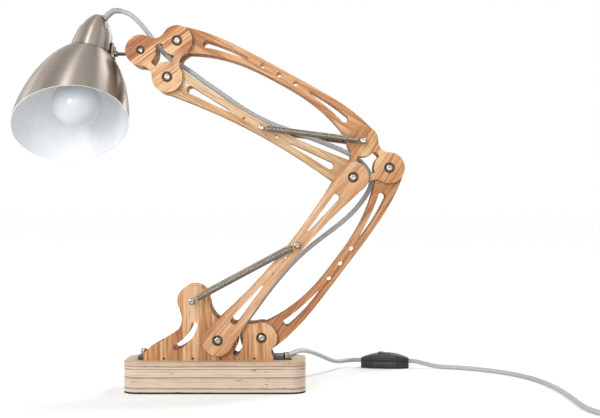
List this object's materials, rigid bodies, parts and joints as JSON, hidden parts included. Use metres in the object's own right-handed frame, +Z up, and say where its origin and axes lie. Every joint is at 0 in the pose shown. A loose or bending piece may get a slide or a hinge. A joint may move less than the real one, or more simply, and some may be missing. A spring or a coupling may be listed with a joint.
{
  "type": "swing-arm desk lamp",
  "caption": "Desk lamp on a plywood block: slotted wooden double-parallelogram arms with balance springs, a brushed metal bell shade on a knuckle, and a fabric cord with an inline switch.",
  "frame": {"origin": "middle of the base's underside, on the table", "axes": "+X from the shade side to the elbow side in the plane of the arms, +Y to the rear, +Z up"},
  "size_m": [0.7405, 0.422, 0.4401],
  "materials": {
    "plywood": "clear lacquered plywood edge",
    "base_plate_wood": "lacquered hardwood staves",
    "light_wood": "lacquered hardwood",
    "dark_wood": "lacquered hardwood",
    "plated_steel": "bright plated",
    "spring_steel": "oiled spring wire",
    "black_metal": "semi-gloss black",
    "brushed_shade": "brushed, white inside",
    "rubber_pad": "matt",
    "holder": "matt white",
    "bulb_glass": "frosted",
    "bulb_metal": "plain",
    "black_plastic": "satin",
    "cord_braid": "woven textile"
  },
  "bodies": {
    "base": {"base_pad": "rubber_pad", "base_lower_board": "plywood", "base_upper_board": "plywood", "base_bar": "black_metal", "base_bar_bolts": "plated_steel", "base_bar_screws": "black_metal", "base_plate_front": "base_plate_wood", "base_plate_rear": "base_plate_wood", "base_pivot_bolts": "plated_steel", "base_bushes": "plated_steel", "base_washers": "plated_steel", "lower_spring_posts": "plated_steel", "cord_to_switch": "cord_braid", "cord_from_switch": "cord_braid", "cord_coil": "cord_braid", "switch_base": "black_plastic", "switch_cover": "black_plastic", "plug": "black_plastic"},
    "lower_arm_link": {"lower_link_front": "light_wood", "lower_link_rear": "light_wood", "lower_spring_pins": "plated_steel", "cord_in_base": "cord_braid"},
    "rear_arm_link": {"rear_link_front": "dark_wood", "rear_link_rear": "dark_wood"},
    "elbow": {"elbow_plate_front": "light_wood", "elbow_plate_rear": "light_wood", "elbow_bolts": "plated_steel", "elbow_bushes": "plated_steel", "elbow_washers": "plated_steel", "upper_spring_post": "plated_steel", "cord_in_elbow": "cord_braid"},
    "upper_arm_link": {"upper_link_front": "light_wood", "upper_link_rear": "light_wood", "upper_spring_pins": "plated_steel", "cord_in_upper_arm": "cord_braid"},
    "top_arm_link": {"top_link_front": "dark_wood", "top_link_rear": "dark_wood"},
    "head": {"head_plate_front": "light_wood", "head_plate_rear": "light_wood", "head_bolts": "plated_steel", "head_bushes": "plated_steel", "head_washers": "plated_steel", "cord_in_head": "cord_braid"},
    "knuckle": {"knuckle": "black_metal", "knuckle_stud": "black_metal", "cord_over_head": "cord_braid"},
    "shade": {"shade_clip": "black_metal", "clip_screw": "plated_steel", "shade": "brushed_shade", "shade_cap": "brushed_shade", "lamp_holder": "holder", "bulb_globe": "bulb_glass", "bulb_base": "bulb_metal", "cord_gland": "black_plastic", "cord_at_cap": "cord_braid"},
    "lower_spring_near": {"lower_spring_hooks": "spring_steel"},
    "lower_spring_far": {"lower_springs": "spring_steel"},
    "upper_spring_near": {"upper_spring_hooks": "spring_steel"},
    "upper_spring_far": {"upper_springs": "spring_steel"},
    "rocker": {"switch_rocker": "black_plastic"}
  },
  "joints": [
    {"name": "lower_arm", "type": "hinge", "parent": "base", "child": "lower_arm_link", "pos_m": [0.0035, 0, 0.0592], "axis": [0, -1, 0], "range_deg": [-12, 30], "deforming": ["cord_in_base"]},
    {"name": "rear_link_turn", "type": "hinge", "parent": "base", "child": "rear_arm_link", "pos_m": [0.05285, 0, 0.06153], "axis": [0, -1, 0], "range_deg": [-11.48, 28.69]},
    {"name": "elbow_turn", "type": "hinge", "parent": "lower_arm_link", "child": "elbow", "pos_m": [0.1568, 0, 0.24386], "axis": [0, -1, 0], "range_deg": [-38.92, 15.58], "deforming": ["cord_in_elbow"]},
    {"name": "upper_arm", "type": "hinge", "parent": "elbow", "child": "upper_arm_link", "pos_m": [0.1568, 0, 0.24386], "axis": [0, -1, 0], "range_deg": [-25, 25], "deforming": ["cord_in_upper_arm"]},
    {"name": "top_link_turn", "type": "hinge", "parent": "elbow", "child": "top_arm_link", "pos_m": [0.1681, 0, 0.28514], "axis": [0, -1, 0], "range_deg": [-25.01, 25.01]},
    {"name": "head_turn", "type": "hinge", "parent": "upper_arm_link", "child": "head", "pos_m": [-0.05431, 0, 0.35801], "axis": [0, -1, 0], "range_deg": [-25.01, 25.01], "deforming": ["cord_in_head"]},
    {"name": "head_tilt", "type": "hinge", "parent": "head", "child": "knuckle", "pos_m": [-0.08442, 0, 0.38843], "axis": [0, -1, 0], "range_deg": [-35, 35], "deforming": ["cord_over_head"]},
    {"name": "shade_swivel", "type": "hinge", "parent": "knuckle", "child": "shade", "pos_m": [-0.08442, 0, 0.38683], "axis": [1, 0, 0], "range_deg": [-35, 35], "deforming": ["cord_at_cap"]},
    {"name": "lower_spring_turn", "type": "hinge", "parent": "base", "child": "lower_spring_near", "pos_m": [-0.0252, 0, 0.1041], "axis": [0, -1, 0], "range_deg": [-12.43, 31.05]},
    {"name": "lower_spring_stretch", "type": "slide", "parent": "lower_spring_near", "child": "lower_spring_far", "axis": [0.8823, 0, 0.4708], "range_m": [-0.02714, 0.01087], "deforming": ["lower_springs"]},
    {"name": "upper_spring_turn", "type": "hinge", "parent": "elbow", "child": "upper_spring_near", "pos_m": [0.1681, 0, 0.28514], "axis": [0, -1, 0], "range_deg": [-23.77, 23.77]},
    {"name": "upper_spring_stretch", "type": "slide", "parent": "upper_spring_near", "child": "upper_spring_far", "axis": [-0.9918, 0, 0.1279], "range_m": [-0.0181, 0.0181], "deforming": ["upper_springs"]},
    {"name": "switch_rocker", "type": "hinge", "parent": "base", "child": "rocker", "pos_m": [0.208, 0.192, 0.013], "axis": [0.1392, 0.9903, 0], "range_deg": [-12, 0]}
  ],
  "couplings": [
    {"joint": "rear_link_turn", "follows": "lower_arm", "ratio": 0.9557},
    {"joint": "elbow_turn", "follows": "lower_arm", "ratio": -1.2969},
    {"joint": "lower_spring_turn", "follows": "lower_arm", "ratio": 1.0346},
    {"joint": "lower_spring_stretch", "follows": "lower_arm", "m_per_rad": -0.05179},
    {"joint": "top_link_turn", "follows": "upper_arm", "ratio": 1},
    {"joint": "head_turn", "follows": "upper_arm", "ratio": -1},
    {"joint": "upper_spring_turn", "follows": "upper_arm", "ratio": 0.9501},
    {"joint": "upper_spring_stretch", "follows": "upper_arm", "m_per_rad": 0.04143}
  ]
}
